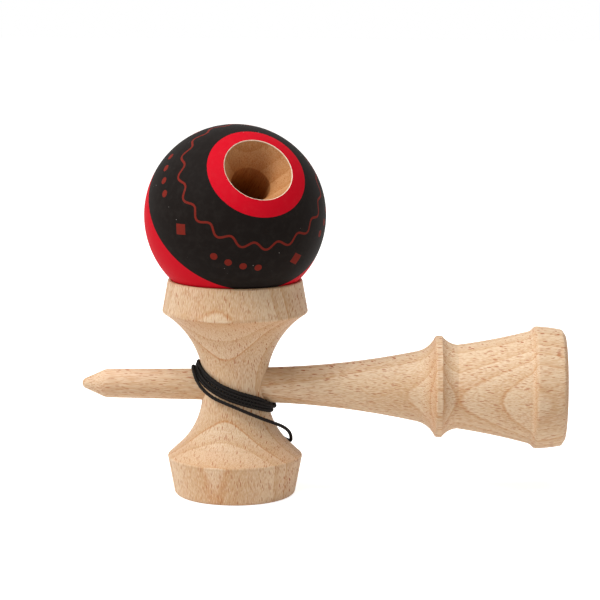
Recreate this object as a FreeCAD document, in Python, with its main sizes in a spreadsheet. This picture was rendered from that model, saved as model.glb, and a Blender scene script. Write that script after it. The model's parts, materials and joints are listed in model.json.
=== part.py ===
"""Kendama: a turned wooden handle, its cross cup piece, a bored ball and the cord between them.

Millimetres.  The origin is the centre of the lower cup's lip, on the surface that the toy stands on.
+Z is up along the cross cup piece, +X runs along the handle from its spike to its base cup, and
the ball's hole faces -Y, up and a little to +X.
"""
import FreeCAD, Part
import math
import os
import Sketcher

Vector = FreeCAD.Vector

SIZES = (
    # ball, along its hole from the centre; the two angles are degrees
    ("tama_radius", 30.0),
    ("tama_turn", 22.8),
    ("tama_tilt", 38.2),
    ("mouth_radius", 11.3),
    ("mouth_edge_round", 0.2),
    ("funnel_depth", 9.0),
    ("hole_radius", 6.55),
    ("hole_reach", 4.0),
    ("chamber_step", 0.25),
    ("chamber_reach", 17.5),
    # cross cup piece
    ("sarado_height", 72.25),
    ("handle_height", 36.72),
    ("waist_radius", 10.5),
    ("brim_round", 0.8),
    ("brim_round_length", 1.1),
    ("brim_round_width", 0.45),
    # its small cup, from the lower lip
    ("small_lip_radius", 18.0),
    ("small_lip_land", 1.0),
    ("small_lip_round", 1.3),
    ("small_lip_round_length", 1.1),
    ("small_lip_round_width", 1.2),
    ("small_wall_height", 12.3),
    ("small_wall_radius", 22.35),
    ("small_bowl_depth", 8.5),
    ("small_bevel_height", 17.6),
    ("small_bevel_radius", 17.5),
    ("small_neck_curve", 23.9),
    ("small_neck_height", 30.0),
    ("small_neck_radius", 11.25),
    # its large cup, from the upper lip
    ("large_lip_radius", 21.4),
    ("large_lip_land", 0.5),
    ("large_lip_round", 0.6),
    ("large_lip_round_length", 0.5),
    ("large_lip_round_width", 0.45),
    ("large_wall_height", 9.95),
    ("large_wall_radius", 24.03),
    ("large_bowl_depth", 11.5),
    # spike, from the cross cup piece's axis
    ("spike_reach", 51.0),
    ("nose_cap_depth", 1.05),
    ("nose_cap_radius", 1.7),
    ("nose_length", 7.0),
    ("nose_radius", 4.38),
    ("shoulder_round", 4.0),
    ("shoulder_round_length", 1.7),
    ("shoulder_radius", 4.77),
    # tapered seat in the cross cup piece
    ("seat_margin", 1.5),
    ("seat_small_radius", 5.2),
    ("seat_large_radius", 5.92),
    # grip, collar and neck, each from the one before
    ("grip_end", 60.5),
    ("grip_end_radius", 11.7),
    ("grip_curve", 275.0),
    ("flare_length", 5.8),
    ("flare_curve", 8.5),
    ("flare_end_radius", 16.2),
    ("collar_round", 1.15),
    ("collar_round_length", 0.9),
    ("collar_radius", 16.9),
    ("collar_width", 1.45),
    ("collar_edge", 0.2),
    ("neck_length", 5.05),
    ("neck_curve", 7.3),
    ("neck_radius", 13.93),
    # base cone, band and base cup, each from the one before
    ("cone_length", 23.0),
    ("cone_curve", 200.0),
    ("cone_radius", 18.49),
    ("cove_length", 2.0),
    ("cove_curve", 3.2),
    ("cove_rise", 1.31),
    ("band_round", 1.65),
    ("band_round_length", 1.4),
    ("band_radius", 20.27),
    ("band_length", 7.6),
    ("band_curve", 56.0),
    ("band_end_radius", 19.4),
    ("base_corner_round", 1.2),
    ("base_corner_length", 0.9),
    ("base_corner_width", 0.95),
    ("base_face_length", 0.6),
    ("base_crest_radius", 17.7),
    ("base_lip_radius", 17.0),
    ("base_lip_round", 0.6),
    ("base_lip_drop", 0.4),
    ("base_bowl_depth", 14.0),
    # cord, its holes, its knots, its hank and the stop bead
    ("cord_radius", 0.65),
    ("cord_hole_radius", 1.3),
    ("cord_exit", 1.2),
    ("knot_radius", 1.9),
    ("knot_pocket_radius", 2.4),
    ("knot_pocket_floor", 1.0),
    ("bead_radius", 4.8),
    ("bead_hole_radius", 1.1),
    ("hank_radius", 1.25),
    ("hank_slack", 0.25),
    ("hank_spread", 1.2),
    # clearances
    ("seat_clearance", 0.05),
    ("rest_gap", 0.25),
    ("cord_gap", 0.2),
)

# The loose cord: from the hank at the front left down across the waist, round the small cup's
# shoulder and up behind the large cup to the ball's cord hole.
CORD_RUN = (
    (-13.2, -4.4, 41.0),
    (-12.3, -6.6, 38.2),
    (-10.3, -8.9, 35.6),
    (-7.0, -11.2, 33.8),
    (-3.0, -12.6, 32.4),
    (1.6, -12.9, 30.7),
    (6.2, -11.9, 28.9),
    (10.2, -9.4, 27.0),
    (13.7, -5.9, 24.9),
    (16.6, -2.2, 22.4),
    (18.7, 2.6, 19.1),
    (17.9, 7.4, 17.4),
    (14.6, 11.9, 18.5),
    (10.7, 14.9, 22.1),
    (6.9, 16.7, 27.2),
    (3.5, 18.0, 32.8),
    (0.4, 19.3, 38.7),
    (-2.5, 20.8, 44.8),
    (-5.4, 22.7, 50.6),
    (-8.3, 24.9, 56.1),
    (-10.7, 26.8, 61.6),
    (-11.9, 27.8, 66.5),
    (-11.39, 27.09, 70.39),
    (-9.56, 22.75, 74.1),
)
HANK_RUNS = 12
HANK_GAP_ANGLE = 10.0

# An arc takes this share of the shorter of the two runs that it joins.
RUN_SHARE = 0.45

# The side of the way along an outline to which an arc bows.
LEFT = 1
RIGHT = -1

document = FreeCAD.newDocument("kendama")
sheet = document.addObject("Spreadsheet::Sheet", "Sizes")
for row, (alias, number) in enumerate(SIZES, 1):
    sheet.set(f"A{row}", alias)
    sheet.set(f"B{row}", str(number))
    sheet.setAlias(f"B{row}", alias)
document.recompute()


# ---------------------------------------------------------------- sizes

class Size:
    """A length, as its number and as the sheet expression that gives the same number."""

    def __init__(self, number, expression):
        self.number = number
        self.expression = expression

    def joined(self, sign, other, number):
        return Size(number, f"({self.expression} {sign} {other.expression})")

    def __add__(self, other):
        return self.joined("+", other, self.number + other.number)

    def __sub__(self, other):
        return self.joined("-", other, self.number - other.number)

    def __mul__(self, other):
        return self.joined("*", other, self.number * other.number)

    def __truediv__(self, other):
        return self.joined("/", other, self.number / other.number)

    def __neg__(self):
        return Size(-self.number, f"(0 - {self.expression})")


TWO = Size(2.0, "2")


def size(alias):
    return Size(float(sheet.get(alias)), f"Sizes.{alias}")


def other_leg(slant, leg):
    """The third side of a right triangle."""
    square = slant * slant - leg * leg
    return Size(math.sqrt(square.number), f"sqrt{square.expression}")


def cap_radius(depth, half_width):
    """Radius of the arc that leaves its axis square and is half_width away from it after depth."""
    return (depth * depth + half_width * half_width) / (depth * TWO)


def bind(target, name, value):
    target.setExpression(name, value.expression)


# ---------------------------------------------------------------- sketches and bodies

def new_body(label):
    return document.addObject("PartDesign::Body", label)


def new_sketch(body, role, name):
    plane = [item for item in body.Origin.OriginFeatures if item.Role == role][0]
    sketch = body.newObject("Sketcher::SketchObject", name)
    sketch.AttachmentSupport = [(plane, "")]
    sketch.MapMode = "FlatFace"
    return sketch


def constrain(sketch, value, kind, *where):
    index = sketch.addConstraint(Sketcher.Constraint(kind, *where, value.number))
    bind(sketch, f"Constraints[{index}]", value)


def arc_between(start, end, radius, side):
    chord = end - start
    sag = radius - math.sqrt(radius * radius - chord.Length * chord.Length / 4)
    left = Vector(-chord.y, chord.x, 0).normalize()
    return Part.Arc(start, (start + end) / 2 + left * (sag * side), end)


def outline(sketch, corners):
    """Close an outline through the corners (x, y) or, where an arc follows, (x, y, radius, side).

    An x or y of None is a corner on that axis.
    """
    points = [Vector(x.number if x else 0, y.number if y else 0, 0) for x, y, *arc in corners]
    for start, end, (x, y, *arc) in zip(points, points[1:] + points[:1], corners):
        if arc:
            sketch.addGeometry(arc_between(start, end, arc[0].number, arc[1]))
        else:
            sketch.addGeometry(Part.LineSegment(start, end))

    def end_at(edge, point):
        return 1 if sketch.getPoint(edge, 1).isEqual(point, 1e-4) else 2

    for edge, (point, (x, y, *arc)) in enumerate(zip(points, corners)):
        before = (edge - 1) % len(points)
        here = (edge, end_at(edge, point))
        sketch.addConstraint(Sketcher.Constraint("Coincident", before, end_at(before, point), *here))
        if x:
            constrain(sketch, x, "DistanceX", -1, 1, *here)
        else:
            sketch.addConstraint(Sketcher.Constraint("PointOnObject", *here, -2))
        if y:
            constrain(sketch, y, "DistanceY", -1, 1, *here)
        else:
            sketch.addConstraint(Sketcher.Constraint("PointOnObject", *here, -1))
        if arc:
            constrain(sketch, arc[0], "Radius", edge)


def turned_body(label, role, axis, corners):
    """A piece turned on a lathe: its outline swept round one of its sketch's axes."""
    body = new_body(label)
    sketch = new_sketch(body, role, f"{label}_outline")
    outline(sketch, corners)
    turning = body.newObject("PartDesign::Revolution", f"{label}_turning")
    turning.Profile = sketch
    turning.ReferenceAxis = (sketch, [axis])
    turning.Angle = 360
    document.recompute()
    return body


def cut_round_hole(body, name, radius, height, plane_offset, reversed_cut):
    """Drill along Y from a plane that lies plane_offset in front of the body's XZ plane."""
    sketch = new_sketch(body, "XZ_Plane", f"{name}_circle")
    if plane_offset:
        bind(sketch, "AttachmentOffset.Base.z", plane_offset)
    centre = Vector(0, height.number if height else 0, 0)
    sketch.addGeometry(Part.Circle(centre, Vector(0, 0, 1), radius.number))
    sketch.addConstraint(Sketcher.Constraint("PointOnObject", 0, 3, -2))
    if height:
        constrain(sketch, height, "DistanceY", -1, 1, 0, 3)
    else:
        sketch.addConstraint(Sketcher.Constraint("PointOnObject", 0, 3, -1))
    constrain(sketch, radius, "Radius", 0)
    volume = body.Shape.Volume
    hole = body.newObject("PartDesign::Pocket", name)
    hole.Profile = sketch
    hole.Type = "ThroughAll"
    hole.Reversed = reversed_cut
    document.recompute()
    if body.Shape.Volume >= volume:
        raise RuntimeError(f"{name} removes nothing")


# ---------------------------------------------------------------- cord

def fillet_radius(before, point, after):
    first = point - before
    second = after - point
    half_turn = first.getAngle(second) / 2
    return RUN_SHARE * min(first.Length, second.Length) / math.tan(half_turn)


def cord_path(points):
    """Straight runs joined by tangent arcs; returns the wire and the arcs' radii."""
    corners = [Vector(*point) for point in points]
    edges = []
    radii = []
    start = corners[0]
    for before, point, after in zip(corners, corners[1:], corners[2:]):
        back = (before - point).normalize()
        ahead = (after - point).normalize()
        reach = RUN_SHARE * min((point - before).Length, (after - point).Length)
        radius = fillet_radius(before, point, after)
        inward = (back + ahead).normalize()
        middle = point + inward * (math.hypot(radius, reach) - radius)
        edges.append(Part.LineSegment(start, point + back * reach).toShape())
        edges.append(Part.Arc(point + back * reach, middle, point + ahead * reach).toShape())
        start = point + ahead * reach
        radii.append(radius)
    edges.append(Part.LineSegment(start, corners[-1]).toShape())
    return Part.Wire(edges), radii


def cord_tube(label, points, radius):
    """A closed tube round the cord's path, checked against its section times its length."""
    path, radii = cord_path(points)
    start = Vector(*points[0])
    along = Vector(*points[1]) - start
    ring = Part.Wire(Part.Circle(start, along, radius).toShape())
    tube = path.makePipeShell([ring], True, False)
    expected = math.pi * radius * radius * path.Length
    print(f"{label}: length {path.Length:.1f}, volume {tube.Volume:.1f} of {expected:.1f}, "
          f"smallest arc {min(radii):.1f}")
    if abs(tube.Volume - expected) > expected / 100:
        raise RuntimeError(f"{label} is not a clean tube")
    feature = document.addObject("Part::Feature", label)
    feature.Shape = tube
    return feature


def hank_points():
    """One open turn round the waist: over the spike on -X, under the grip on +X."""
    step = math.radians(360 - HANK_GAP_ANGLE) / HANK_RUNS
    stand_off = size("hank_radius").number + size("cord_gap").number
    waist = size("waist_radius").number + size("hank_slack").number
    reach = (waist + stand_off) / math.cos(step / 2)
    spread = size("hank_spread").number
    over = size("handle_height").number + size("seat_small_radius").number + stand_off
    under = size("handle_height").number - size("seat_large_radius").number - stand_off
    first = math.radians(90 + HANK_GAP_ANGLE / 2)
    points = []
    for index in range(HANK_RUNS + 1):
        angle = first + index * step
        height = (over + under) / 2 - (over - under) / 2 * math.cos(angle) / math.cos(step / 2)
        points.append(((reach + spread) * math.cos(angle), reach * math.sin(angle), height))
    return points


# ---------------------------------------------------------------- cross cup piece

def make_sarado():
    top = size("sarado_height")
    middle = size("handle_height")
    waist = size("waist_radius")
    small_lip = size("small_lip_radius")
    small_land = small_lip + size("small_lip_land")
    small_brim = size("small_wall_radius") - size("brim_round_width")
    small_brim_height = size("small_wall_height") + size("brim_round_length")
    large_lip = size("large_lip_radius")
    large_land = large_lip + size("large_lip_land")
    large_brim = size("large_wall_radius") - size("brim_round_width")
    large_wall_low = top - size("large_wall_height")
    large_brim_height = large_wall_low - size("brim_round_length")
    large_waist = cap_radius(large_brim - waist, large_brim_height - middle)
    body = turned_body("sarado", "XZ_Plane", "V_Axis", (
        (None, size("small_bowl_depth"), cap_radius(size("small_bowl_depth"), small_lip), LEFT),
        (small_lip, None),
        (small_land, None, size("small_lip_round"), RIGHT),
        (small_land + size("small_lip_round_width"), size("small_lip_round_length")),
        (size("small_wall_radius"), size("small_wall_height"), size("brim_round"), RIGHT),
        (small_brim, small_brim_height),
        (size("small_bevel_radius"), size("small_bevel_height"), size("small_neck_curve"), LEFT),
        (size("small_neck_radius"), size("small_neck_height")),
        (waist, middle, large_waist, LEFT),
        (large_brim, large_brim_height, size("brim_round"), RIGHT),
        (size("large_wall_radius"), large_wall_low),
        (large_land + size("large_lip_round_width"), top - size("large_lip_round_length"),
         size("large_lip_round"), RIGHT),
        (large_land, top),
        (large_lip, top, cap_radius(size("large_bowl_depth"), large_lip), LEFT),
        (None, top - size("large_bowl_depth")),
    ))
    bore_seat(body)
    cut_round_hole(body, "sarado_cord_hole", size("cord_hole_radius"), middle, None, False)
    return body


def bore_seat(body):
    """The tapered bore that the handle's seat wedges into."""
    reach = size("waist_radius") + size("seat_margin")
    middle = size("handle_height")
    play = size("seat_clearance")
    sketch = new_sketch(body, "XZ_Plane", "sarado_bore_outline")
    outline(sketch, (
        (-reach, middle),
        (reach, middle),
        (reach, middle + size("seat_large_radius") + play),
        (-reach, middle + size("seat_small_radius") + play),
    ))
    ends = [sketch.getPoint(0, end) for end in (1, 2)]
    axis = sketch.addGeometry(Part.LineSegment(*ends), True)
    for end in (1, 2):
        sketch.addConstraint(Sketcher.Constraint("Coincident", axis, end, 0, end))
    volume = body.Shape.Volume
    bore = body.newObject("PartDesign::Groove", "sarado_bore")
    bore.Profile = sketch
    bore.ReferenceAxis = (sketch, ["Axis0"])
    bore.Angle = 360
    document.recompute()
    if body.Shape.Volume >= volume:
        raise RuntimeError("the bore removes nothing")


# ---------------------------------------------------------------- handle

def make_ken():
    seat_end = size("waist_radius") + size("seat_margin")
    tip = -size("spike_reach")
    cap_end = tip + size("nose_cap_depth")
    nose_end = tip + size("nose_length")
    flare_end = size("grip_end") + size("flare_length")
    collar_start = flare_end + size("collar_round_length")
    collar_end = collar_start + size("collar_width")
    neck_start = collar_end + size("collar_edge")
    neck_end = neck_start + size("neck_length")
    cone_end = neck_end + size("cone_length")
    cove_end = cone_end + size("cove_length")
    band_start = cove_end + size("band_round_length")
    band_end = band_start + size("band_length")
    face_start = band_end + size("base_corner_length")
    crest = face_start + size("base_face_length")
    lip = crest - size("base_lip_drop")
    body = turned_body("ken", "XZ_Plane", "H_Axis", (
        (tip, None, cap_radius(size("nose_cap_depth"), size("nose_cap_radius")), LEFT),
        (cap_end, size("nose_cap_radius")),
        (nose_end, size("nose_radius"), size("shoulder_round"), LEFT),
        (nose_end + size("shoulder_round_length"), size("shoulder_radius")),
        (-seat_end, size("seat_small_radius")),
        (seat_end, size("seat_large_radius"), size("grip_curve"), RIGHT),
        (size("grip_end"), size("grip_end_radius"), size("flare_curve"), RIGHT),
        (flare_end, size("flare_end_radius"), size("collar_round"), LEFT),
        (collar_start, size("collar_radius")),
        (collar_end, size("collar_radius")),
        (neck_start, size("collar_radius") - size("collar_edge"), size("neck_curve"), RIGHT),
        (neck_end, size("neck_radius"), size("cone_curve"), RIGHT),
        (cone_end, size("cone_radius"), size("cove_curve"), RIGHT),
        (cove_end, size("cone_radius") + size("cove_rise"), size("band_round"), LEFT),
        (band_start, size("band_radius"), size("band_curve"), LEFT),
        (band_end, size("band_end_radius"), size("base_corner_round"), LEFT),
        (face_start, size("band_end_radius") - size("base_corner_width")),
        (crest, size("base_crest_radius"), size("base_lip_round"), LEFT),
        (lip, size("base_lip_radius"), cap_radius(size("base_bowl_depth"), size("base_lip_radius")), RIGHT),
        (lip - size("base_bowl_depth"), None),
    ))
    floor = size("knot_pocket_floor")
    cut_round_hole(body, "ken_cord_hole", size("cord_hole_radius"), None, floor, False)
    cut_round_hole(body, "ken_knot_pocket", size("knot_pocket_radius"), None, floor, True)
    bind(body, "Placement.Base.z", size("handle_height"))
    return body


# ---------------------------------------------------------------- ball

def tama_height():
    """The ball's centre stands over the large cup's lip, a small gap clear of it."""
    seat = other_leg(size("tama_radius"), size("large_lip_radius"))
    return size("sarado_height") + seat + size("rest_gap")


def place_with_tama(body):
    """Local +Z becomes the axis of the ball's hole, through the ball's centre."""
    body.setExpression("Placement", (
        "create(<<placement>>; "
        f"create(<<vector>>; 0; 0; {tama_height().expression}); "
        "create(<<rotation>>; Sizes.tama_turn; 0; 90 - Sizes.tama_tilt))"
    ))


def make_tama():
    ball = size("tama_radius")
    cord_hole = size("cord_hole_radius")
    mouth = size("mouth_radius")
    hole = size("hole_radius")
    chamber = hole - size("chamber_step")
    mouth_height = other_leg(ball, mouth)
    body = turned_body("tama", "XZ_Plane", "V_Axis", (
        (cord_hole, -other_leg(ball, cord_hole), ball, RIGHT),
        (mouth, mouth_height),
        (hole, mouth_height - size("funnel_depth")),
        (hole, -size("hole_reach")),
        (chamber, -size("hole_reach")),
        (chamber, -size("chamber_reach")),
        (cord_hole, -size("chamber_reach")),
    ))
    soften_mouth(body, mouth.number, mouth_height.number)
    place_with_tama(body)
    return body


def soften_mouth(body, radius, height):
    turning = body.Tip
    names = []
    for number, edge in enumerate(turning.Shape.Edges, 1):
        curve = edge.Curve
        if not isinstance(curve, Part.Circle):
            continue
        if abs(curve.Radius - radius) < 1e-3 and abs(curve.Center.z - height) < 1e-3:
            names.append(f"Edge{number}")
    softened = body.newObject("PartDesign::Fillet", "tama_mouth_edge")
    softened.Base = (turning, names)
    bind(softened, "Radius", size("mouth_edge_round"))
    document.recompute()


def bead_height():
    """The stop bead's centre, from the ball's centre along the hole."""
    return size("bead_radius") + size("rest_gap") - size("chamber_reach")


def make_stop_bead():
    bead = size("bead_radius")
    hole = size("bead_hole_radius")
    half = other_leg(bead, hole)
    body = turned_body("stop_bead", "XZ_Plane", "V_Axis", (
        (hole, bead_height() - half, bead, RIGHT),
        (hole, bead_height() + half),
    ))
    place_with_tama(body)
    return body


# ---------------------------------------------------------------- cord pieces

def knotted_end(label, role, knot_centre, cord_end):
    """A round knot on the sketch's upright axis and the cord from it, down to cord_end."""
    knot = size("knot_radius")
    cord = size("cord_radius")
    return turned_body(label, role, "V_Axis", (
        (None, knot_centre + knot),
        (None, cord_end),
        (cord, cord_end),
        (cord, knot_centre - other_leg(knot, cord), knot, RIGHT),
    ))


def make_cord_pieces():
    cord = size("cord_radius")
    gap = size("cord_gap")
    seat_middle = (size("seat_small_radius") + size("seat_large_radius")) / TWO
    pocket_knot = size("knot_pocket_floor") + gap + size("knot_radius")
    ken_end = knotted_end("string_ken_end", "XY_Plane", pocket_knot, gap - seat_middle)
    bind(ken_end, "Placement.Base.z", size("handle_height"))
    ken_end.setExpression("Placement.Rotation.Angle", "180")

    tama_end = knotted_end(
        "string_tama_end", "XZ_Plane",
        bead_height() + size("bead_radius") + size("knot_radius"),
        -size("tama_radius") - size("cord_exit"),
    )
    place_with_tama(tama_end)

    lead_start = seat_middle + size("seat_clearance") + gap
    lead_end = size("waist_radius") + gap + size("hank_radius")
    lead = document.addObject("Part::Cylinder", "string_lead")
    bind(lead, "Radius", cord)
    bind(lead, "Height", lead_end - lead_start)
    lead.Placement.Rotation = FreeCAD.Rotation(Vector(1, 0, 0), -90)
    bind(lead, "Placement.Base.y", lead_start)
    bind(lead, "Placement.Base.z", size("handle_height"))

    hank = cord_tube("string_hank", hank_points(), size("hank_radius").number)
    run = cord_tube("string_run", CORD_RUN, cord.number)
    return [ken_end, tama_end, lead, hank, run]


# ---------------------------------------------------------------- document and files

def check(nodes):
    document.recompute()
    for item in document.Objects:
        if "Invalid" in item.State or "Error" in item.State:
            raise RuntimeError(f"{item.Label} failed: {item.State}")
    for node in nodes:
        if node.Shape.isNull() or not node.Shape.isValid():
            raise RuntimeError(f"{node.Label} has no valid shape")


def main():
    nodes = [make_sarado(), make_ken(), make_tama(), make_stop_bead()] + make_cord_pieces()
    check(nodes)
    os.makedirs("parts", exist_ok=True)
    for node in nodes:
        node.Shape.exportStep(f"parts/{node.Label}.step")


main()
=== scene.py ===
"""Kendama: beech and paint on the turned pieces, and the black cord wound round the waist."""
import bpy
import json
import math
from mathutils import Matrix, Vector


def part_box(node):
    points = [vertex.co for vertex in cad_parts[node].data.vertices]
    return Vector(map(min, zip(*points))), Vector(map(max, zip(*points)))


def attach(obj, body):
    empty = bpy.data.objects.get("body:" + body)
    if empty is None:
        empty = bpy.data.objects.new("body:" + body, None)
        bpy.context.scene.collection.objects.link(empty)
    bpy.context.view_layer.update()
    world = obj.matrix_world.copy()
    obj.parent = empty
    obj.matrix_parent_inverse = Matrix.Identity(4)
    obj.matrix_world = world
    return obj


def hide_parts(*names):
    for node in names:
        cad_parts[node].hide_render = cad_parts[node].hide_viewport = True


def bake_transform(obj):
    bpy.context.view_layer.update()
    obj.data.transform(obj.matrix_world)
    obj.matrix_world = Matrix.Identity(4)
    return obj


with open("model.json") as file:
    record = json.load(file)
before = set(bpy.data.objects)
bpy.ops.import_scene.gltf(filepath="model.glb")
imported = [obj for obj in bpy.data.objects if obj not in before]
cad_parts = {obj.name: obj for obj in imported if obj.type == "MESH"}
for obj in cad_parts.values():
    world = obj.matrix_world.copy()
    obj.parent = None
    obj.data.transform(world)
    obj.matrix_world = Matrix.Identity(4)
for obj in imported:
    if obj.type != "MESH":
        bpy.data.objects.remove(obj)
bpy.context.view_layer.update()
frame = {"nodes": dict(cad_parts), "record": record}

MM = 0.001
nodes = frame["nodes"]

# ---------------------------------------------------------------- places, from the frame

hole_mount = [mount for mount in frame["record"]["mounts"] if mount["name"] == "tama_hole"][0]
HOLE_AXIS = Vector(hole_mount["axis"]).normalized()
BALL_RADIUS = 30.0 * MM
BALL_CENTRE = Vector((0, 0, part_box("tama")[1].z - BALL_RADIUS))
KEN_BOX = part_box("ken")
HANDLE_HEIGHT = (KEN_BOX[0].z + KEN_BOX[1].z) / 2

# ---------------------------------------------------------------- camera

CAMERA_PLACE = Vector((40.3, -769.6, 189.8)) * MM
CAMERA_YAW = 1.4
CAMERA_DOWN = 9.18
CAMERA_ROLL = 0.29
CAMERA_LENS = 141.3
SENSOR_WIDTH = 36.0


def make_camera():
    data = bpy.data.cameras.new("camera")
    data.lens = CAMERA_LENS
    data.sensor_width = SENSOR_WIDTH
    camera = bpy.data.objects.new("camera", data)
    turn = Matrix.Rotation(math.radians(CAMERA_YAW), 4, "Z")
    tip = Matrix.Rotation(math.radians(90 - CAMERA_DOWN), 4, "X")
    roll = Matrix.Rotation(math.radians(CAMERA_ROLL), 4, "Z")
    camera.matrix_world = Matrix.Translation(CAMERA_PLACE) @ turn @ tip @ roll
    bpy.context.scene.collection.objects.link(camera)
    bpy.context.scene.camera = camera


# ---------------------------------------------------------------- cord

CORD_DIAMETER = 1.3 * MM
CORD_PLIES = 3
CORD_LAY = 3.7 * MM
PLY_POINTS = 8
PLY_FULLNESS = 0.88
PLY_SWELL = 0.96

# Millimetres: out of the cord hole at the back of the waist.
CORD_LEAD = (
    (0.0, 6.0, 36.72),
    (0.0, 9.6, 36.72),
    (-0.5, 12.3, 36.9),
    (-3.2, 12.6, 37.6),
)
# From the turns at the front left down across the waist, round the small cup's shoulder and up
# behind the large cup to the ball's cord hole.
CORD_RUN = (
    (-13.4, -4.2, 41.6),
    (-12.7, -6.3, 39.8),
    (-10.7, -8.6, 37.0),
    (-7.2, -11.0, 34.5),
    (-3.0, -12.5, 32.9),
    (1.6, -12.9, 31.1),
    (6.2, -11.9, 28.9),
    (10.2, -9.4, 26.8),
    (13.7, -5.9, 24.8),
    (16.7, -2.0, 22.7),
    (18.5, 2.2, 19.8),
    (18.6, 6.9, 16.4),
    (17.9, 10.6, 15.4),
    (15.0, 14.4, 15.9),
    (12.0, 16.2, 18.6),
    (7.6, 17.2, 24.2),
    (3.7, 18.2, 31.6),
    (0.4, 19.3, 38.7),
    (-2.5, 20.8, 44.8),
    (-5.4, 22.7, 50.6),
    (-8.3, 24.9, 56.1),
    (-10.7, 26.8, 61.6),
    (-11.9, 27.8, 66.5),
    (-11.6, 27.3, 70.7),
    (-9.6, 22.8, 74.2),
    (-8.22, 19.56, 76.83),
)

# One turn round the waist, by its angle from the spike's side: over the spike at 0 degrees, down
# across the front at 90, under the grip at 180 and up the back at 270.
TURN_POINTS = 16
TURN_HEIGHT = 36.7
TURN_RISE = 7.1
TURN_SAG = 1.85
TURN_HUG = 3.0
TURN_REACH = 11.9
TURN_STRETCH = 0.5
BUNDLE_ROLL = 50.0
# Where each turn lies in the bundle, in millimetres, every 45 degrees from the back of the waist:
# up across the bundle, and out from the waist. The turns cross loosely, and where they
# cross they sink a little into each other.
LANE_STEP = 45
LANE_START = 315
LANES = (
    (1.95, 0.12), (0.80, 0.92), (1.85, 0.12), (1.86, -0.12),
    (1.70, -0.64), (-0.25, -0.42), (1.00, -0.45), (0.45, -0.02),
    (0.78, -0.40), (0.00, -0.78), (0.68, -0.38), (0.70, -0.06),
    (0.57, -0.28), (0.45, 0.90), (0.77, 0.58), (-0.04, 1.00),
    (0.20, 0.65), (0.10, 0.34), (-0.52, 0.08), (-0.48, 0.02),
    (-0.52, 0.12), (-0.48, 0.30), (-0.22, -0.04), (-0.72, 0.02),
    (-0.42, -0.35), (-0.86, -0.04), (-1.72, 0.00), (-1.63, 0.15),
    (-1.56, 0.60), (-1.05, 1.14), (-1.42, 0.46), (-1.89, 0.18),
    (-1.60, -0.28), (-1.55, 0.64),
)

# The overhand knots that hold the cord's ends: one in the handle's pocket, one on the bead.
KNOT_POINTS = 14
KNOT_SPREAD = 0.42
KNOT_DEPTH = 0.75
KNOT_RISE = 1.2
KNOT_END = (1.0, -1.1)
KEN_KNOT = (0, -2.95 * MM, HANDLE_HEIGHT)
KEN_TAIL = 8.5
BEAD_KNOT = BALL_CENTRE - HOLE_AXIS * (5.95 * MM)
BEAD_TAIL = 20.5


def between_lanes(turned):
    """Where the cord lies in the bundle after it has turned that many degrees."""
    index = min(int(turned // LANE_STEP), len(LANES) - 2)
    share = turned / LANE_STEP - index
    share = (1 - math.cos(math.pi * share)) / 2
    return [a + (b - a) * share for a, b in zip(LANES[index], LANES[index + 1])]


def turn_points():
    """The wound part of the cord, in millimetres."""
    step = 360 / TURN_POINTS
    whole = LANE_STEP * (len(LANES) - 1)
    shrink = (3 + math.cos(math.radians(step))) / 4
    points = []
    for index in range(int(whole / step) + 1):
        across, out = between_lanes(index * step)
        angle = math.radians(LANE_START + index * step)
        cosine = math.cos(angle)
        lean = math.radians(BUNDLE_ROLL) * cosine ** 3
        height = TURN_HEIGHT + TURN_RISE * cosine
        height -= abs(math.sin(angle)) * (TURN_SAG + TURN_HUG * cosine)
        reach = TURN_REACH + TURN_STRETCH * math.cos(2 * angle)
        reach += out * math.cos(lean) - across * math.sin(lean)
        height += across * math.cos(lean) + out * math.sin(lean)
        reach /= shrink
        points.append((-reach * cosine, -reach * math.sin(angle), height))
    return points


def route_line(name, points):
    """The points of the smooth line along a NURBS route, from its control points in millimetres."""
    curve = bpy.data.curves.new(name, "CURVE")
    curve.dimensions = "3D"
    curve.resolution_u = 12
    spline = curve.splines.new("NURBS")
    spline.points.add(len(points) - 1)
    for target, point in zip(spline.points, points):
        target.co = (*(Vector(point) * MM), 1)
    spline.order_u = 3
    spline.use_endpoint_u = True
    route = bpy.data.objects.new(name, curve)
    bpy.context.scene.collection.objects.link(route)
    bpy.context.view_layer.update()
    line = bpy.data.meshes.new_from_object(route)
    found = [vertex.co.copy() for vertex in line.vertices]
    bpy.data.meshes.remove(line)
    bpy.data.objects.remove(route)
    return found


def ply_section(radius):
    """The outline of twisted plies, as (angle, reach) pairs once round."""
    ply = radius / (1 + 1 / math.sin(math.pi / CORD_PLIES))
    centre = radius - ply
    valley = PLY_FULLNESS * radius
    section = []
    for index in range(CORD_PLIES * PLY_POINTS):
        angle = 2 * math.pi * index / (CORD_PLIES * PLY_POINTS)
        off = (angle + math.pi / CORD_PLIES) % (2 * math.pi / CORD_PLIES) - math.pi / CORD_PLIES
        inside = ply ** 2 - (centre * math.sin(off)) ** 2
        reach = centre * math.cos(off) + math.sqrt(inside) if inside > 0 else 0
        section.append((angle, max(reach, valley)))
    return section


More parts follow.
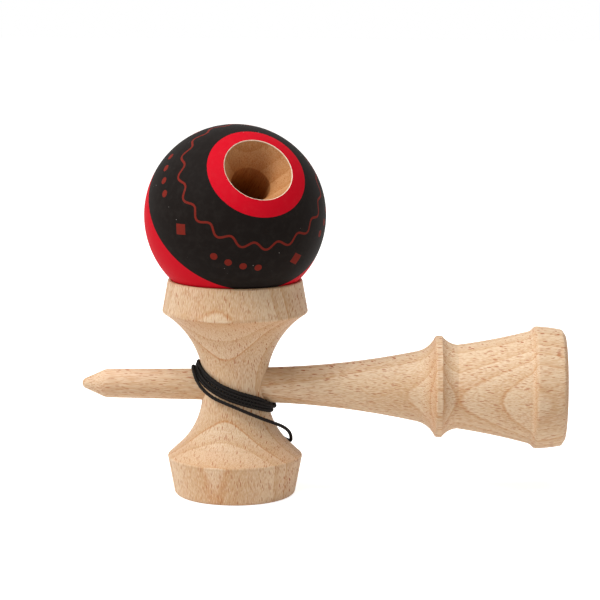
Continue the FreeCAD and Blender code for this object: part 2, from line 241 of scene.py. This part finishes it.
def twisted_cord(name, line, diameter):
    """A mesh of plies that twist round the line; its UV is (turns round, millimetres along)."""
    section = ply_section(PLY_SWELL * diameter / 2)
    count = len(section)
    vertices = []
    lengths = []
    length = 0.0
    across = None
    for index, point in enumerate(line):
        before = line[max(index - 1, 0)]
        after = line[min(index + 1, len(line) - 1)]
        along = (after - before).normalized()
        if across is None:
            across = along.orthogonal()
        across = (across - along * across.dot(along)).normalized()
        side = along.cross(across)
        length += (point - before).length
        lengths.append(length)
        twist = 2 * math.pi * length / CORD_LAY
        for angle, reach in section:
            out = across * math.cos(angle + twist) + side * math.sin(angle + twist)
            vertices.append(point + out * reach)
    faces = []
    corners = []
    for ring in range(len(line) - 1):
        for index in range(count):
            following = (index + 1) % count
            faces.append((ring * count + index, ring * count + following,
                          (ring + 1) * count + following, (ring + 1) * count + index))
            low, high = index / count, (index + 1) / count
            corners += [(low, lengths[ring] / MM), (high, lengths[ring] / MM),
                        (high, lengths[ring + 1] / MM), (low, lengths[ring + 1] / MM)]
    for ring, order in ((0, -1), (len(line) - 1, 1)):
        cap = [ring * count + index for index in range(count)][::order]
        faces.append(cap)
        corners += [(index / count, lengths[ring] / MM) for index in range(count)]
    mesh = bpy.data.meshes.new(name)
    mesh.from_pydata(vertices, [], faces)
    layer = mesh.uv_layers.new(name="lay")
    for loop, corner in zip(layer.data, corners):
        loop.uv = corner
    mesh.shade_smooth()
    piece = bpy.data.objects.new(name, mesh)
    bpy.context.scene.collection.objects.link(piece)
    return piece


def knot_points(centre, axis, tail):
    """An overhand knot drawn tight on a cord that comes down the axis from tail millimetres away."""
    axis = Vector(axis).normalized()
    side = axis.orthogonal().normalized()
    other = axis.cross(side)
    centre = Vector(centre) / MM
    points = [centre + axis * (tail + (KNOT_RISE - tail) * share) for share in (0, 0.3, 0.6, 0.9, 1)]
    for index in range(KNOT_POINTS):
        turn = math.pi / 2 + 2 * math.pi * index / KNOT_POINTS
        x = math.sin(turn) + 2 * math.sin(2 * turn)
        y = math.cos(turn) - 2 * math.cos(2 * turn)
        sunk = axis * (math.sin(3 * turn) * KNOT_DEPTH)
        points.append(centre + (side * x + other * y) * KNOT_SPREAD - sunk)
    points.append(centre + side * KNOT_END[0] + axis * KNOT_END[1])
    return points


def make_knot(name, body, node, centre, axis, tail, material):
    line = route_line(name, knot_points(centre, axis, tail))
    knot = twisted_cord(name, line, CORD_DIAMETER)
    knot.data.materials.append(material)
    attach(knot, body)
    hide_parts(node)
    return knot


def make_cord(material):
    ken_knot = make_knot("ken_knot", "ken", "string_ken_end",
                         KEN_KNOT, (0, 1, 0), KEN_TAIL, material)
    bead_knot = make_knot("bead_knot", "bead", "string_tama_end",
                          BEAD_KNOT, -HOLE_AXIS, BEAD_TAIL, material)
    line = route_line("cord_route", (*CORD_LEAD, *turn_points(), *CORD_RUN))
    cord = twisted_cord("cord", line, CORD_DIAMETER)
    cord.data.materials.append(material)
    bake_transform(cord)
    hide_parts("string_lead", "string_hank", "string_run")


# ---------------------------------------------------------------- node graphs

class Graph:
    """A material's node tree, with short calls for its sums."""

    def __init__(self, name):
        self.material = bpy.data.materials.new(name)
        self.material.use_nodes = True
        self.tree = self.material.node_tree
        self.shader = self.tree.nodes["Principled BSDF"]

    def put(self, socket, value):
        if isinstance(value, bpy.types.NodeSocket):
            self.tree.links.new(value, socket)
        else:
            socket.default_value = value

    def node(self, kind, inputs=(), **settings):
        made = self.tree.nodes.new(kind)
        for name, value in settings.items():
            setattr(made, name, value)
        for name, value in dict(inputs).items():
            self.put(made.inputs[name], value)
        return made

    def math(self, operation, *values, clamp=False):
        made = self.node("ShaderNodeMath", operation=operation, use_clamp=clamp)
        for index, value in enumerate(values):
            self.put(made.inputs[index], value)
        return made.outputs[0]

    def vector(self, operation, *values):
        made = self.node("ShaderNodeVectorMath", operation=operation)
        for index, value in enumerate(values):
            self.put(made.inputs[index], value)
        return made.outputs["Value" if operation in ("DOT_PRODUCT", "LENGTH", "DISTANCE") else "Vector"]

    def ramp(self, value, low, high, low_to=0.0, high_to=1.0):
        """low_to up to low, high_to from high on, and a smooth step between."""
        made = self.node("ShaderNodeMapRange", interpolation_type="SMOOTHSTEP")
        for index, number in enumerate((value, low, high, low_to, high_to)):
            self.put(made.inputs[index], number)
        return made.outputs[0]

    def mix(self, share, first, second, blend="MIX"):
        made = self.node("ShaderNodeMix", data_type="RGBA", blend_type=blend)
        self.put(made.inputs[0], share)
        self.put(made.inputs[6], first)
        self.put(made.inputs[7], second)
        return made.outputs[2]

    def combine(self, x, y, z):
        made = self.node("ShaderNodeCombineXYZ")
        for index, value in enumerate((x, y, z)):
            self.put(made.inputs[index], value)
        return made.outputs[0]

    def noise(self, position, scale, detail=2.0, rough=0.5):
        made = self.node("ShaderNodeTexNoise", {
            "Vector": position, "Scale": scale, "Detail": detail, "Roughness": rough,
        })
        return made.outputs[0]

    def cells(self, position, scale=1.0):
        return self.node("ShaderNodeTexVoronoi", {"Vector": position, "Scale": scale}).outputs

    def position(self):
        return self.node("ShaderNodeTexCoord").outputs["Object"]

    def normal(self):
        return self.node("ShaderNodeTexCoord").outputs["Normal"]

    def bump(self, height, distance):
        made = self.node("ShaderNodeBump", {"Height": height, "Distance": distance, "Strength": 1.0})
        self.put(self.shader.inputs["Normal"], made.outputs[0])

    def finish(self, color, roughness, **sockets):
        self.put(self.shader.inputs["Base Color"], color)
        self.put(self.shader.inputs["Roughness"], roughness)
        for name, value in sockets.items():
            self.shader.inputs[name.replace("_", " ")].default_value = value
        return self.material


def linear(red, green, blue):
    """A colour's shader value from its sRGB one, 0 to 255."""
    return (*[c / 12.92 if c <= 0.04045 else ((c + 0.055) / 1.055) ** 2.4
              for c in (red / 255, green / 255, blue / 255)], 1.0)


# ---------------------------------------------------------------- beech

BEECH_LIGHT = linear(224, 198, 165)
BEECH_DARK = linear(202, 164, 122)
BEECH_LATE = linear(192, 126, 66)
BEECH_PORE = linear(164, 74, 4)
BEECH_PINK = linear(220, 187, 156)
BEECH_EDGE = linear(190, 150, 112)
BEECH_PALE = linear(240, 216, 188)
# Painted shade for the ball's bore: its bare wood is multiplied by this darker orange, for the shade and
# warm bounce in the hollow.
BORE_PAINTED_SHADE = linear(205, 150, 70)
RING_REACH = 32.0
RING_LINE = 0.28
RING_STEP = 0.05
RING_WANDER = 0.9
LONG_PORES = ((0.42, 2.8, 4.0), 0.25)
FINE_PORES = ((0.28, 2.2, 2.4), 0.3)
# The share of a pore that is fully dark, and how strongly the fine ones show.
PORE_CORE = 0.75
FINE_PORE_SHARE = 0.75
PITH_BEHIND = 90.0
EDGE_WIDTH = 0.55
EDGE_SHARE = 0.6
LATE_LINE = 0.65
# Bump heights in millimetres.
FIBRE_RISE = 0.006
PORE_SINK = -0.007
WOOD_ROUGHNESS = 0.5
FIBRE_ROUGHNESS = 0.16
WORN_SMOOTHER = -0.18
WOOD_SPECULAR = 0.4


class Beech:
    """Flat-sawn beech in millimetres: rings seen face on towards `face`, grain along `grain`.

    `rings` are the depths from `centre` towards `face` at which a year ends, `tilt` is how much
    deeper they get per millimetre along the grain. `bend` is (place, tilt): how much less deep
    they get per millimetre before that place. `figure` is how strongly the rings show.
    """

    def __init__(self, graph, centre, grain, face, rings, tilt=0.0, bend=None, figure=1.0):
        grain = Vector(grain).normalized()
        face = Vector(face)
        face = (face - grain * face.dot(grain)).normalized()
        place = graph.vector("SUBTRACT", graph.position(), tuple(centre))
        place = graph.vector("SCALE", place)
        place.node.inputs["Scale"].default_value = 1 / MM
        self.graph = graph
        self.along = graph.vector("DOT_PRODUCT", place, tuple(grain))
        self.depth = graph.vector("DOT_PRODUCT", place, tuple(face))
        self.across = graph.vector("DOT_PRODUCT", place, tuple(grain.cross(face)))
        self.grain = grain
        self.ring_depths = rings
        self.tilt = tilt
        self.bend = bend
        self.figure = figure

    def stretched(self, across, along, depth=None):
        """Coordinates in units of those lengths."""
        graph = self.graph
        return graph.combine(
            graph.math("DIVIDE", self.across, across),
            graph.math("DIVIDE", self.depth, depth or across),
            graph.math("DIVIDE", self.along, along),
        )

    def rings(self):
        """0 to 1 across each year's ring, and the thin dark line at its end."""
        graph = self.graph
        wander = graph.noise(self.stretched(17, 60), 1.0, 1.0)
        wander = graph.math("MULTIPLY_ADD", wander, 2 * RING_WANDER, -RING_WANDER)
        from_pith = graph.math("ADD", self.depth, PITH_BEHIND)
        sideways = graph.math("MULTIPLY", self.across, self.across)
        reach = graph.math("MULTIPLY_ADD", from_pith, from_pith, sideways)
        reach = graph.math("ADD", graph.math("SQRT", reach), wander)
        reach = graph.math("MULTIPLY_ADD", self.along, -self.tilt, reach)
        if self.bend:
            place, tilt = self.bend
            before = graph.math("MAXIMUM", graph.math("SUBTRACT", place, self.along), 0.0)
            reach = graph.math("MULTIPLY_ADD", before, tilt, reach)
        share = graph.math("DIVIDE", graph.math("ADD", reach, RING_REACH - PITH_BEHIND), 2 * RING_REACH)
        ramp = graph.node("ShaderNodeValToRGB", {"Fac": share})
        stops = ramp.color_ramp.elements
        for depth in self.ring_depths:
            for off, year, line in ((RING_LINE, 0.85, 0.0), (RING_STEP, 1.0, 1.0), (0.0, 0.0, 0.0)):
                stop = stops.new((depth - off + RING_REACH) / (2 * RING_REACH))
                stop.color = (year, line, 0.0, 1.0)
        stops.remove(stops[0])
        stops[-1].color = (1.0, 0.0, 0.0, 1.0)
        apart = graph.node("ShaderNodeSeparateColor", {"Color": ramp.outputs["Color"]})
        return apart.outputs[0], apart.outputs[1]

    def pores(self, cell, cut):
        """Short dark dashes along the grain, which are flecks on the quarter faces."""
        graph = self.graph
        across, depth, along = cell
        found = graph.cells(self.stretched(across, along, depth))
        shape = graph.ramp(found["Distance"], cut * PORE_CORE, cut, 1.0, 0.0)
        apart = graph.node("ShaderNodeSeparateColor", {"Color": found["Color"]})
        return graph.math("MULTIPLY", shape, graph.ramp(apart.outputs[0], 0.1, 1.0, 0.2, 1.0))

    def near(self, places):
        """1 at each of those places along the grain, fading to 0 an edge's width away."""
        graph = self.graph
        total = None
        for place in places:
            off = graph.math("ABSOLUTE", graph.math("SUBTRACT", self.along, place))
            ring = graph.ramp(off, 0.0, EDGE_WIDTH, 1.0, 0.0)
            total = ring if total is None else graph.math("MAXIMUM", total, ring)
        return total

    def surface(self, edges=(), pored=1.0):
        """Colour, height in millimetres and roughness."""
        graph = self.graph
        year, line = self.rings()
        fibres = graph.noise(self.stretched(0.26, 4.0), 1.0, 1.0, 0.5)
        clouds = graph.noise(self.stretched(10, 40), 1.0, 2.0, 0.5)
        late = graph.math("MULTIPLY", graph.math("POWER", year, 1.5), self.figure)
        color = graph.mix(late, BEECH_LIGHT, BEECH_DARK)
        color = graph.mix(graph.ramp(clouds, 0.45, 0.75, 0.0, 0.5), color, BEECH_PINK)
        color = graph.mix(graph.math("MULTIPLY", line, LATE_LINE * self.figure), color, BEECH_LATE)
        color = graph.mix(graph.ramp(fibres, 0.46, 0.7, 0.0, 0.4), color, BEECH_LATE)
        color = graph.mix(graph.ramp(fibres, 0.3, 0.5, 0.4, 0.0), color, BEECH_PALE)
        fine = graph.math("MULTIPLY", self.pores(*FINE_PORES), FINE_PORE_SHARE)
        pores = graph.math("MAXIMUM", self.pores(*LONG_PORES), fine)
        color = graph.mix(graph.math("MULTIPLY", pores, pored), color, BEECH_PORE)
        facing = graph.math("ABSOLUTE", graph.vector("DOT_PRODUCT", graph.normal(), tuple(self.grain)))
        color = graph.mix(graph.ramp(facing, 0.45, 1.0, 0.0, 0.3), color, BEECH_LATE)
        height = graph.math("MULTIPLY_ADD", fibres, FIBRE_RISE, graph.math("MULTIPLY", pores, PORE_SINK))
        roughness = graph.math("MULTIPLY_ADD", fibres, FIBRE_ROUGHNESS, WOOD_ROUGHNESS)
        if edges:
            handled = graph.noise(self.stretched(3.0, 3.0), 1.0, 2.0)
            worn = graph.math("MULTIPLY", self.near(edges), graph.ramp(handled, 0.3, 0.7, 0.1, 0.6))
            color = graph.mix(graph.math("MULTIPLY", worn, EDGE_SHARE), color, BEECH_EDGE)
            roughness = graph.math("MULTIPLY_ADD", worn, WORN_SMOOTHER, roughness)
        return color, height, roughness


def beech_material(name, beech_of, edges=()):
    graph = Graph(name)
    color, height, roughness = beech_of(graph).surface(edges)
    graph.bump(height, MM)
    return graph.finish(color, roughness, Specular_IOR_Level=WOOD_SPECULAR)


SARADO_RINGS = (-20.5, -16.0, -11.5, -7.5, -3.0, 1.5, 6.2, 12.3, 16.0, 23.15)
SARADO_TILT = 0.03
SARADO_FACE = (-0.24, -0.97, 0)
KEN_FACE = (0, -1, -0.13)
KEN_FIGURE = 0.85
SARADO_BEND = (-20.6, 0.138)
KEN_RINGS = (-17.5, -12.5, -8.5, -3.5, 1.5, 5.7, 11.2, 13.9, 16.4, 20.0)
TAMA_RINGS = (-23.0, -18.0, -13.0, -9.0, -4.5, 0.5, 5.5, 9.8, 16.0, 22.0)
# Along each turned piece's axis from the handle's height, in millimetres: its brims and edges.
SARADO_EDGES = (-36.2, -24.4, -19.1, 25.6, 35.2)
KEN_EDGES = (-50.6, 67.2, 68.7, 97.5, 99.2, 109.2)


def sarado_material():
    centre = (0, 0, HANDLE_HEIGHT)
    return beech_material(
        "beech_cross_piece",
        lambda graph: Beech(graph, centre, (0, 0, 1), SARADO_FACE, SARADO_RINGS, SARADO_TILT,
                            SARADO_BEND),
        SARADO_EDGES,
    )


def ken_material():
    centre = (0, 0, HANDLE_HEIGHT)
    return beech_material(
        "beech_handle",
        lambda graph: Beech(graph, centre, (1, 0, 0), KEN_FACE, KEN_RINGS, figure=KEN_FIGURE),
        KEN_EDGES,
    )


def bead_material():
    return beech_material(
        "bead_wood",
        lambda graph: Beech(graph, BALL_CENTRE, HOLE_AXIS.orthogonal(), HOLE_AXIS, TAMA_RINGS),
    )


# ---------------------------------------------------------------- paint on the ball

PAINT_BLACK = linear(25, 20, 18)
PAINT_RED = linear(204, 12, 34)
PRINT_RED = linear(124, 38, 29)
PALE_RIM_AND_HIGHLIGHT = linear(236, 218, 194)
RING_ANGLE = 33.0
BAND_ANGLE = 85.4
WAVE_ANGLE = 50.85
WAVE_SWING = 2.15
WAVE_COUNT = 18
WAVE_WIDTH = 0.74
MARK_ANGLE = 65.5
MARK_SECTOR = 90.0
DIAMOND_AT = 25.5
DIAMOND_REACH = 4.7
DOTS_AT = 70.5
DOT_STEP = 10.5
DOT_REACH = 2.3
MOUTH_ANGLE = 22.2
EDGE_BARE = 0.2
PAINT_SOFT = 0.09
# Where the pale rim of the mouth begins and is full, in millimetres from the ball's centre:
# bare pale wood at the chipped edge, and partly a painted highlight of the edge.
RIM_DEPTHS = (27.5, 27.65)
PAINT_SPECULAR = 0.05
PAINT_ROUGHNESS = 0.58
RUBBED_ROUGHNESS = 0.12
RUB_COLOR = linear(230, 222, 214)
RUB_SHOWN = 0.007
RUB_SCALE = 420.0
CHIP_SCALE = 900.0
DUST_COLOR = linear(220, 215, 210)
DUST_SCALE = 260.0
DUST_SHOWN = 0.3
# Millimetres of height: the black coat, what the red and the print add, and its fine grain.
COAT_RISE = 0.05
RED_RISE = 0.02
PRINT_RISE = 0.015
COAT_GRAIN = 0.006
GRAIN_SCALE = 1500.0
# The tool's marks in the bore: radians per millimetre, and height in millimetres.
TOOL_MARKS = 9.0
TOOL_MARK_RISE = 0.006


class BallPaint:
    """Paint and print by the angle from the hole's axis and the angle round it, in degrees."""

    def __init__(self, graph):
        self.graph = graph
        self.place = graph.vector("SUBTRACT", graph.position(), tuple(BALL_CENTRE))
        self.reach = graph.vector("LENGTH", self.place)
        unit = graph.vector("NORMALIZE", self.place)
        start = HOLE_AXIS.cross(Vector((0, 0, 1))).normalized()
        self.side = HOLE_AXIS.cross(start)
        polar = graph.math("ARCCOSINE", graph.vector("DOT_PRODUCT", unit, tuple(HOLE_AXIS)))
        self.polar = graph.math("DEGREES", polar)
        around = graph.math("ARCTAN2", graph.vector("DOT_PRODUCT", unit, tuple(self.side)),
                            graph.vector("DOT_PRODUCT", unit, tuple(start)))
        self.around = graph.math("DEGREES", around)

    def inside(self, value, limit):
        return self.graph.ramp(value, limit - PAINT_SOFT, limit + PAINT_SOFT, 1.0, 0.0)

    def red(self):
        graph = self.graph
        cap = graph.math("SUBTRACT", 1.0, self.inside(self.polar, BAND_ANGLE))
        return graph.math("MAXIMUM", self.inside(self.polar, RING_ANGLE), cap)

    def wave(self):
        graph = self.graph
        turns = graph.math("RADIANS", graph.math("MULTIPLY", self.around, float(WAVE_COUNT)))
        middle = graph.math("MULTIPLY_ADD", graph.math("COSINE", turns), -WAVE_SWING, WAVE_ANGLE)
        steepness = math.radians(WAVE_SWING) * WAVE_COUNT / math.sin(math.radians(WAVE_ANGLE))
        slope = graph.math("MULTIPLY", graph.math("SINE", turns), steepness)
        slant = graph.math("SQRT", graph.math("MULTIPLY_ADD", slope, slope, 1.0))
        off = graph.math("ABSOLUTE", graph.math("SUBTRACT", self.polar, middle))
        off = graph.math("DIVIDE", off, slant)
        return self.inside(off, math.degrees(WAVE_WIDTH * MM / BALL_RADIUS) / 2)

    def beside(self, centre, step):
        """Degrees along the ring of marks from the nearest of its places, step degrees apart."""
        graph = self.graph
        half = step / 2
        turned = graph.math("ADD", self.around, 720.0 - centre + half)
        turned = graph.math("ABSOLUTE", graph.math("SUBTRACT", graph.math("MODULO", turned, step), half))
        return graph.math("MULTIPLY", turned, math.sin(math.radians(MARK_ANGLE)))

    def marks(self):
        """A ring of diamonds, with four dots between one and the next."""
        graph = self.graph
        off = graph.math("ABSOLUTE", graph.math("SUBTRACT", self.polar, MARK_ANGLE))
        diamonds = graph.math("ADD", off, self.beside(DIAMOND_AT, MARK_SECTOR))
        printed = self.inside(diamonds, DIAMOND_REACH)
        for place in (-1.5, -0.5, 0.5, 1.5):
            along = self.beside(DOTS_AT + place * DOT_STEP, MARK_SECTOR)
            away = graph.math("MULTIPLY_ADD", along, along, graph.math("MULTIPLY", off, off))
            away = graph.math("SQRT", away)
            printed = graph.math("MAXIMUM", printed, self.inside(away, DOT_REACH))
        return printed

    def painted(self):
        """1 on the paint and 0 on bare wood, with a broken edge round the mouth where the pale rim,
        partly a painted highlight, shows.
        """
        graph = self.graph
        skin = graph.ramp(self.reach, BALL_RADIUS - 0.42 * MM, BALL_RADIUS - 0.32 * MM)
        chips = graph.noise(self.place, CHIP_SCALE, 3.0, 0.7)
        rim = graph.math("MULTIPLY_ADD", chips, 2 * EDGE_BARE, MOUTH_ANGLE)
        return graph.math("MULTIPLY", skin, graph.ramp(self.polar, rim, graph.math("ADD", rim, 0.1)))


def paint_material():
    graph = Graph("painted_beech")
    paint = BallPaint(graph)
    red = paint.red()
    printed = graph.math("MAXIMUM", paint.wave(), paint.marks())
    rubbed = graph.noise(paint.place, RUB_SCALE, 4.0, 0.6)
    color = graph.mix(red, PAINT_BLACK, PAINT_RED)
    inked = graph.math("MULTIPLY", printed, graph.ramp(rubbed, 0.3, 0.7, 1.0, 0.85))
    color = graph.mix(inked, color, PRINT_RED)
    color = graph.mix(graph.ramp(rubbed, 0.4, 0.75, 0.0, RUB_SHOWN), color, RUB_COLOR)
    dust = graph.cells(paint.place, DUST_SCALE)["Distance"]
    color = graph.mix(graph.ramp(dust, 0.035, 0.05, DUST_SHOWN, 0.0), color, DUST_COLOR)

    beech = Beech(graph, BALL_CENTRE, HOLE_AXIS, paint.side, TAMA_RINGS)
    bare_color, bare_height, bare_roughness = beech.surface(pored=0.5)
    depth = beech.along
    # Painted shade: the bore's bare wood is darkened and warmed, fully deep in the bore and easing to
    # 0.7 towards the mouth.
    bare_color = graph.mix(graph.ramp(depth, 4.0, 26.0, 1.0, 0.7), bare_color, BORE_PAINTED_SHADE, "MULTIPLY")
    # The pale rim at the mouth: bare pale wood at the chipped edge, and partly a painted highlight of
    # the edge.
    rim = graph.ramp(depth, *RIM_DEPTHS)
    bare_color = graph.mix(rim, bare_color, PALE_RIM_AND_HIGHLIGHT)
    turning = graph.math("SINE", graph.math("MULTIPLY", depth, TOOL_MARKS))
    bare_height = graph.math("MULTIPLY_ADD", turning, TOOL_MARK_RISE, bare_height)

    painted = paint.painted()
    bare = graph.math("SUBTRACT", 1.0, painted)
    color = graph.mix(painted, bare_color, color)
    satin = graph.math("MULTIPLY_ADD", rubbed, RUBBED_ROUGHNESS, PAINT_ROUGHNESS)
    bare_roughness = graph.math("MULTIPLY", bare, bare_roughness)
    roughness = graph.math("MULTIPLY_ADD", painted, satin, bare_roughness)
    coat = graph.math("MULTIPLY_ADD", red, RED_RISE, COAT_RISE)
    coat = graph.math("MULTIPLY_ADD", printed, PRINT_RISE, coat)
    coat = graph.math("MULTIPLY_ADD", graph.noise(paint.place, GRAIN_SCALE, 2.0), COAT_GRAIN, coat)
    bare_height = graph.math("MULTIPLY", bare, bare_height)
    height = graph.math("MULTIPLY_ADD", painted, coat, bare_height)
    graph.bump(height, MM)
    return graph.finish(color, roughness, Specular_IOR_Level=PAINT_SPECULAR)


# ---------------------------------------------------------------- cord and bead

CORD_DARK = linear(12, 10, 10)
CORD_LIGHT = linear(42, 36, 33)
CORD_SPECK = linear(62, 55, 51)
# How fine the fibres are, once round the cord and per millimetre along it.
FIBRE_SCALE = (36.0, 2.2, 1.0)
CORD_FUZZ = 0.08 * MM
SPECK_SCALE = 2500.0
CORD_SPECULAR = 0.15


def cord_material():
    graph = Graph("cord")
    lay = graph.node("ShaderNodeUVMap", uv_map="lay").outputs[0]
    fibres = graph.node("ShaderNodeMapping", {"Vector": lay, "Scale": FIBRE_SCALE})
    fuzz = graph.noise(fibres.outputs[0], 1.0, 3.0, 0.6)
    specks = graph.noise(graph.position(), SPECK_SCALE, 2.0)
    color = graph.mix(graph.ramp(fuzz, 0.35, 0.75), CORD_DARK, CORD_LIGHT)
    color = graph.mix(graph.ramp(specks, 0.6, 0.8, 0.0, 0.3), color, CORD_SPECK)
    graph.bump(fuzz, CORD_FUZZ)
    roughness = graph.math("MULTIPLY_ADD", fuzz, 0.25, 0.5)
    return graph.finish(color, roughness, Specular_IOR_Level=CORD_SPECULAR)


# ---------------------------------------------------------------- stage and light

WORLD_STRENGTH = 0.27
KEY_PLACE = (-1.05, -0.55, 1.2)
KEY_POWER = 16.8
TOP_PLACE = (0.0, -0.25, 1.3)
TOP_POWER = 8.0
FILL_PLACE = (0.7, -1.1, 0.5)
FILL_POWER = 0.4
LIT_PLACE = (0.02, 0, 0.06)
KEY_WIDTH = 0.7
TOP_WIDTH = 0.6
FILL_WIDTH = 1.0
WORLD_COLOR = (1.0, 0.965, 0.93, 1.0)
BACKGROUND = (1, 1, 1, 1)
FLOOR_SIZE = 6.0
FLOOR_COLOR = (0.84, 0.81, 0.78, 1.0)
FLOOR_ROUGHNESS = 0.9
FLOOR_GLOW = 0.8


def white_to_camera(tree, plain):
    """A mix of the given shader and a second one, which is what the camera, reflections and clear
    pieces show."""
    path = tree.nodes.new("ShaderNodeLightPath")
    seen = path.outputs["Is Camera Ray"]
    for name in ("Is Glossy Ray", "Is Transmission Ray"):
        either = tree.nodes.new("ShaderNodeMath")
        either.operation = "MAXIMUM"
        tree.links.new(seen, either.inputs[0])
        tree.links.new(path.outputs[name], either.inputs[1])
        seen = either.outputs[0]
    mix = tree.nodes.new("ShaderNodeMixShader")
    tree.links.new(seen, mix.inputs[0])
    tree.links.new(plain, mix.inputs[1])
    return mix


def make_world():
    world = bpy.data.worlds.new("studio")
    bpy.context.scene.world = world
    world.use_nodes = True
    tree = world.node_tree
    dim = tree.nodes["Background"]
    dim.inputs["Color"].default_value = WORLD_COLOR
    dim.inputs["Strength"].default_value = WORLD_STRENGTH
    white = tree.nodes.new("ShaderNodeBackground")
    white.inputs["Strength"].default_value = 1.0
    white.inputs["Color"].default_value = BACKGROUND
    mix = white_to_camera(tree, dim.outputs[0])
    tree.links.new(white.outputs[0], mix.inputs[2])
    tree.links.new(mix.outputs[0], tree.nodes["World Output"].inputs["Surface"])


def make_floor():
    bpy.ops.mesh.primitive_plane_add(size=FLOOR_SIZE, location=(0, 0, 0))
    floor = bpy.context.object
    floor.name = "floor"
    material = bpy.data.materials.new("floor")
    material.use_nodes = True
    tree = material.node_tree
    plain = tree.nodes["Principled BSDF"]
    plain.inputs["Base Color"].default_value = FLOOR_COLOR
    plain.inputs["Roughness"].default_value = FLOOR_ROUGHNESS
    plain.inputs["Specular IOR Level"].default_value = 0.0
    glow = tree.nodes.new("ShaderNodeEmission")
    glow.inputs["Strength"].default_value = FLOOR_GLOW
    both = tree.nodes.new("ShaderNodeAddShader")
    tree.links.new(plain.outputs[0], both.inputs[0])
    tree.links.new(glow.outputs[0], both.inputs[1])
    mix = white_to_camera(tree, plain.outputs[0])
    tree.links.new(both.outputs[0], mix.inputs[2])
    tree.links.new(mix.outputs[0], tree.nodes["Material Output"].inputs["Surface"])
    floor.data.materials.append(material)


def make_lamp(name, place, target, power, width):
    data = bpy.data.lights.new(name, "AREA")
    data.shape = "DISK"
    data.size = width
    data.energy = power
    lamp = bpy.data.objects.new(name, data)
    lamp.location = place
    lamp.rotation_mode = "QUATERNION"
    lamp.rotation_quaternion = (Vector(target) - Vector(place)).to_track_quat("-Z", "Y")
    bpy.context.scene.collection.objects.link(lamp)


def make_lights():
    make_lamp("key", KEY_PLACE, LIT_PLACE, KEY_POWER, KEY_WIDTH)
    make_lamp("top", TOP_PLACE, LIT_PLACE, TOP_POWER, TOP_WIDTH)
    make_lamp("fill", FILL_PLACE, LIT_PLACE, FILL_POWER, FILL_WIDTH)


def main():
    make_camera()
    make_cord(cord_material())
    dressed = (
        ("sarado", sarado_material()),
        ("ken", ken_material()),
        ("tama", paint_material()),
        ("stop_bead", bead_material()),
    )
    for node, material in dressed:
        nodes[node].data.materials.clear()
        nodes[node].data.materials.append(material)
    make_world()
    make_floor()
    make_lights()
    bpy.context.scene.view_settings.view_transform = "Standard"


main()
